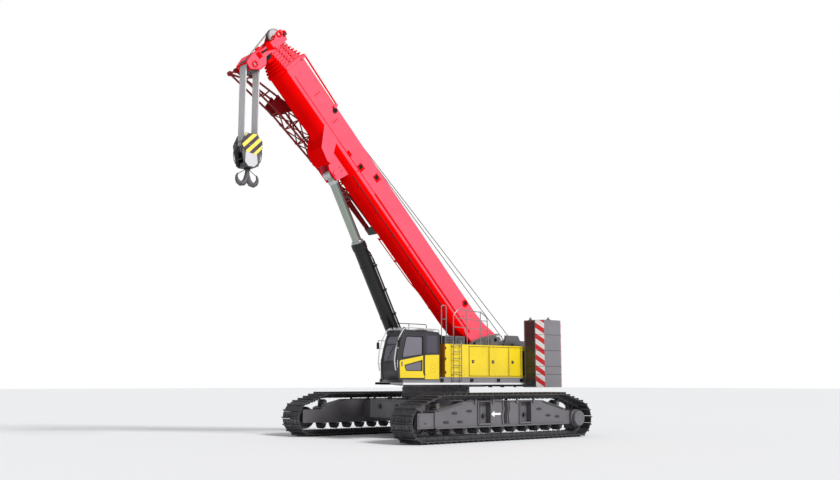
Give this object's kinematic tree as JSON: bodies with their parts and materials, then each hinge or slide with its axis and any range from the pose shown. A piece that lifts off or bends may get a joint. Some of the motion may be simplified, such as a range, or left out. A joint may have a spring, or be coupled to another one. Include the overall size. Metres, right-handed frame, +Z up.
{
  "type": "crawler crane with telescopic boom",
  "caption": "Tracked crane with a raised telescopic boom, a luffing cylinder, a stowed lattice fly jib, a hook block, a glazed cab, hooded machinery and stacked counterweights.",
  "frame": {"origin": "on the ground, on the slew axis", "axes": "-Y forward, along the parked boom; +X to the crane's left, the cab side; +Z up the slew axis"},
  "size_m": [7.9, 14.0134, 14.6837],
  "materials": {
    "yellow_paint": "gloss",
    "red_paint": "gloss",
    "grey_paint": "satin",
    "dark_paint": "satin",
    "black_paint": "gloss",
    "track_steel": "matte",
    "bare_steel": "satin",
    "chrome": "polished",
    "glass": "clear",
    "seat_fabric": "matte"
  },
  "bodies": {
    "undercarriage": {"track_left": "track_steel", "track_right": "track_steel", "track_frame_left": "grey_paint", "track_frame_right": "grey_paint", "track_rollers": "track_steel", "idlers": "track_steel", "sprockets": "track_steel", "final_drives": "grey_paint", "carbody": "grey_paint", "slew_ring": "grey_paint", "carbody_weights": "grey_paint"},
    "superstructure": {"turntable_frame": "grey_paint", "deck_left": "grey_paint", "deck_right": "grey_paint", "hood_left": "yellow_paint", "hood_right": "yellow_paint", "engine": "dark_paint", "cab_shell": "dark_paint", "cab_glass": "glass", "cab_seat": "seat_fabric", "counterweight_slabs": "grey_paint", "counterweight_tray": "grey_paint", "access_ladder": "dark_paint", "guard_rail_left": "dark_paint", "guard_rail_right": "dark_paint", "roof_boxes": "dark_paint"},
    "cab_door": {"cab_door": "yellow_paint", "cab_door_glass": "glass"},
    "winch_main": {"winch_drum_main": "dark_paint"},
    "winch_auxiliary": {"winch_drum_auxiliary": "dark_paint"},
    "foot_pin": {"boom_foot_pin": "bare_steel"},
    "boom": {"boom_base": "red_paint", "fly_jib": "red_paint"},
    "head_and_section_6": {"boom_section_6": "red_paint", "boom_head": "red_paint"},
    "crown_sheaves": {"crown_sheaves": "dark_paint"},
    "nose_sheaves": {"nose_sheaves": "dark_paint"},
    "nose_pin": {"nose_pin": "bare_steel"},
    "hook_block": {"hook_block": "yellow_paint"},
    "block_sheaves": {"block_sheaves": "dark_paint"},
    "hook": {"hook": "grey_paint"},
    "ram_foot_pin": {"luff_foot_pin": "bare_steel"},
    "ram_barrel": {"luff_barrel": "black_paint"},
    "ram_piston": {"luff_piston": "bare_steel"},
    "ram_rod": {"luff_rod": "chrome"},
    "section_1": {"boom_section_1": "red_paint"},
    "section_2": {"boom_section_2": "red_paint"},
    "section_3": {"boom_section_3": "red_paint"},
    "section_4": {"boom_section_4": "red_paint"},
    "section_5": {"boom_section_5": "red_paint"},
    "hood_door_left_1": {"hood_door_left_1": "yellow_paint"},
    "hood_door_left_2": {"hood_door_left_2": "yellow_paint"},
    "hood_door_left_3": {"hood_door_left_3": "yellow_paint"},
    "hood_door_right_1": {"hood_door_right_1": "yellow_paint"},
    "hood_door_right_2": {"hood_door_right_2": "yellow_paint"},
    "hood_door_right_3": {"hood_door_right_3": "yellow_paint"}
  },
  "joints": [
    {"name": "slew", "type": "hinge", "parent": "undercarriage", "child": "superstructure", "pos_m": [0, 0, 1.85], "axis": [0, 0, 1], "continuous": true},
    {"name": "boom_luff_lower", "type": "hinge", "parent": "superstructure", "child": "foot_pin", "pos_m": [0, 2.33, 3.71], "axis": [-1, 0, 0], "range_deg": [-43.2, 0]},
    {"name": "boom_luff_raise", "type": "hinge", "parent": "foot_pin", "child": "boom", "pos_m": [0, 2.33, 3.71], "axis": [-1, 0, 0], "range_deg": [0, 33.8]},
    {"name": "ram_tilt_lower", "type": "hinge", "parent": "superstructure", "child": "ram_foot_pin", "pos_m": [0, -1.39, 2.534], "axis": [-1, 0, 0], "range_deg": [-58.16, 0]},
    {"name": "ram_tilt_raise", "type": "hinge", "parent": "ram_foot_pin", "child": "ram_barrel", "pos_m": [0, -1.39, 2.534], "axis": [-1, 0, 0], "range_deg": [0, 32.35]},
    {"name": "ram_stroke_lower", "type": "slide", "parent": "ram_barrel", "child": "ram_piston", "axis": [0, -0.4654, 0.8851], "range_m": [-2.24385, 0]},
    {"name": "ram_stroke_raise", "type": "slide", "parent": "ram_piston", "child": "ram_rod", "axis": [0, -0.4654, 0.8851], "range_m": [0, 2.2572]},
    {"name": "boom_extend_1", "type": "slide", "parent": "boom", "child": "section_1", "axis": [0, -0.6921, 0.7218], "range_m": [0, 8.6]},
    {"name": "boom_extend_2", "type": "slide", "parent": "section_1", "child": "section_2", "axis": [0, -0.6921, 0.7218], "range_m": [0, 8.6]},
    {"name": "boom_extend_3", "type": "slide", "parent": "section_2", "child": "section_3", "axis": [0, -0.6921, 0.7218], "range_m": [0, 8.6]},
    {"name": "boom_extend_4", "type": "slide", "parent": "section_3", "child": "section_4", "axis": [0, -0.6921, 0.7218], "range_m": [0, 8.6]},
    {"name": "boom_extend_5", "type": "slide", "parent": "section_4", "child": "section_5", "axis": [0, -0.6921, 0.7218], "range_m": [0, 8.6]},
    {"name": "boom_extend_6", "type": "slide", "parent": "section_5", "child": "head_and_section_6", "axis": [0, -0.6921, 0.7218], "range_m": [0, 8.6]},
    {"name": "crown_sheave_spin", "type": "hinge", "parent": "head_and_section_6", "child": "crown_sheaves", "pos_m": [0, -7.73624, 14.4237], "axis": [1, 0, 0], "continuous": true},
    {"name": "hook_hang_lower", "type": "hinge", "parent": "head_and_section_6", "child": "nose_sheaves", "pos_m": [0, -8.68341, 13.09974], "axis": [-1, 0, 0], "range_deg": [0, 43.2]},
    {"name": "hook_hang_raise", "type": "hinge", "parent": "nose_sheaves", "child": "nose_pin", "pos_m": [0, -8.68341, 13.09974], "axis": [-1, 0, 0], "range_deg": [-33.8, 0]},
    {"name": "hoist", "type": "slide", "parent": "nose_pin", "child": "hook_block", "axis": [0, 0, -1], "range_m": [-1.6, 8.5]},
    {"name": "block_sheave_spin", "type": "hinge", "parent": "hook_block", "child": "block_sheaves", "pos_m": [0, -8.68341, 10.18], "axis": [1, 0, 0], "continuous": true},
    {"name": "hook_swivel", "type": "hinge", "parent": "hook_block", "child": "hook", "pos_m": [0, -8.68341, 9.3], "axis": [0, 0, 1], "continuous": true},
    {"name": "winch_main_turn", "type": "hinge", "parent": "superstructure", "child": "winch_main", "pos_m": [0, 3.7, 3.56], "axis": [1, 0, 0], "continuous": true},
    {"name": "winch_auxiliary_turn", "type": "hinge", "parent": "superstructure", "child": "winch_auxiliary", "pos_m": [0, 4.48, 3.4], "axis": [1, 0, 0], "continuous": true},
    {"name": "cab_door_swing", "type": "hinge", "parent": "superstructure", "child": "cab_door", "pos_m": [1.7643, -2.104, 3.1], "axis": [0, 0, 1], "range_deg": [0, 90]},
    {"name": "hood_door_left_1_swing", "type": "hinge", "parent": "superstructure", "child": "hood_door_left_1", "pos_m": [1.7643, 1.186, 2.9], "axis": [0, 0, 1], "range_deg": [0, 90]},
    {"name": "hood_door_left_2_swing", "type": "hinge", "parent": "superstructure", "child": "hood_door_left_2", "pos_m": [1.7643, 2.276, 2.9], "axis": [0, 0, 1], "range_deg": [0, 90]},
    {"name": "hood_door_left_3_swing", "type": "hinge", "parent": "superstructure", "child": "hood_door_left_3", "pos_m": [1.7643, 2.956, 2.9], "axis": [0, 0, 1], "range_deg": [0, 90]},
    {"name": "hood_door_right_1_swing", "type": "hinge", "parent": "superstructure", "child": "hood_door_right_1", "pos_m": [-1.7643, 1.186, 2.9], "axis": [0, 0, -1], "range_deg": [0, 90]},
    {"name": "hood_door_right_2_swing", "type": "hinge", "parent": "superstructure", "child": "hood_door_right_2", "pos_m": [-1.7643, 2.276, 2.9], "axis": [0, 0, -1], "range_deg": [0, 90]},
    {"name": "hood_door_right_3_swing", "type": "hinge", "parent": "superstructure", "child": "hood_door_right_3", "pos_m": [-1.7643, 2.956, 2.9], "axis": [0, 0, -1], "range_deg": [0, 90]}
  ],
  "couplings": [
    {"joint": "ram_tilt_lower", "follows": "boom_luff_lower", "ratio": 1.346},
    {"joint": "ram_tilt_raise", "follows": "boom_luff_raise", "ratio": 0.95669},
    {"joint": "ram_stroke_lower", "follows": "boom_luff_lower", "m_per_rad": 2.9747},
    {"joint": "ram_stroke_raise", "follows": "boom_luff_raise", "m_per_rad": 3.8246},
    {"joint": "boom_extend_2", "follows": "boom_extend_1", "ratio": 1},
    {"joint": "boom_extend_3", "follows": "boom_extend_1", "ratio": 1},
    {"joint": "boom_extend_4", "follows": "boom_extend_1", "ratio": 1},
    {"joint": "boom_extend_5", "follows": "boom_extend_1", "ratio": 1},
    {"joint": "boom_extend_6", "follows": "boom_extend_1", "ratio": 1},
    {"joint": "hook_hang_lower", "follows": "boom_luff_lower", "ratio": -1},
    {"joint": "hook_hang_raise", "follows": "boom_luff_raise", "ratio": -1}
  ]
}
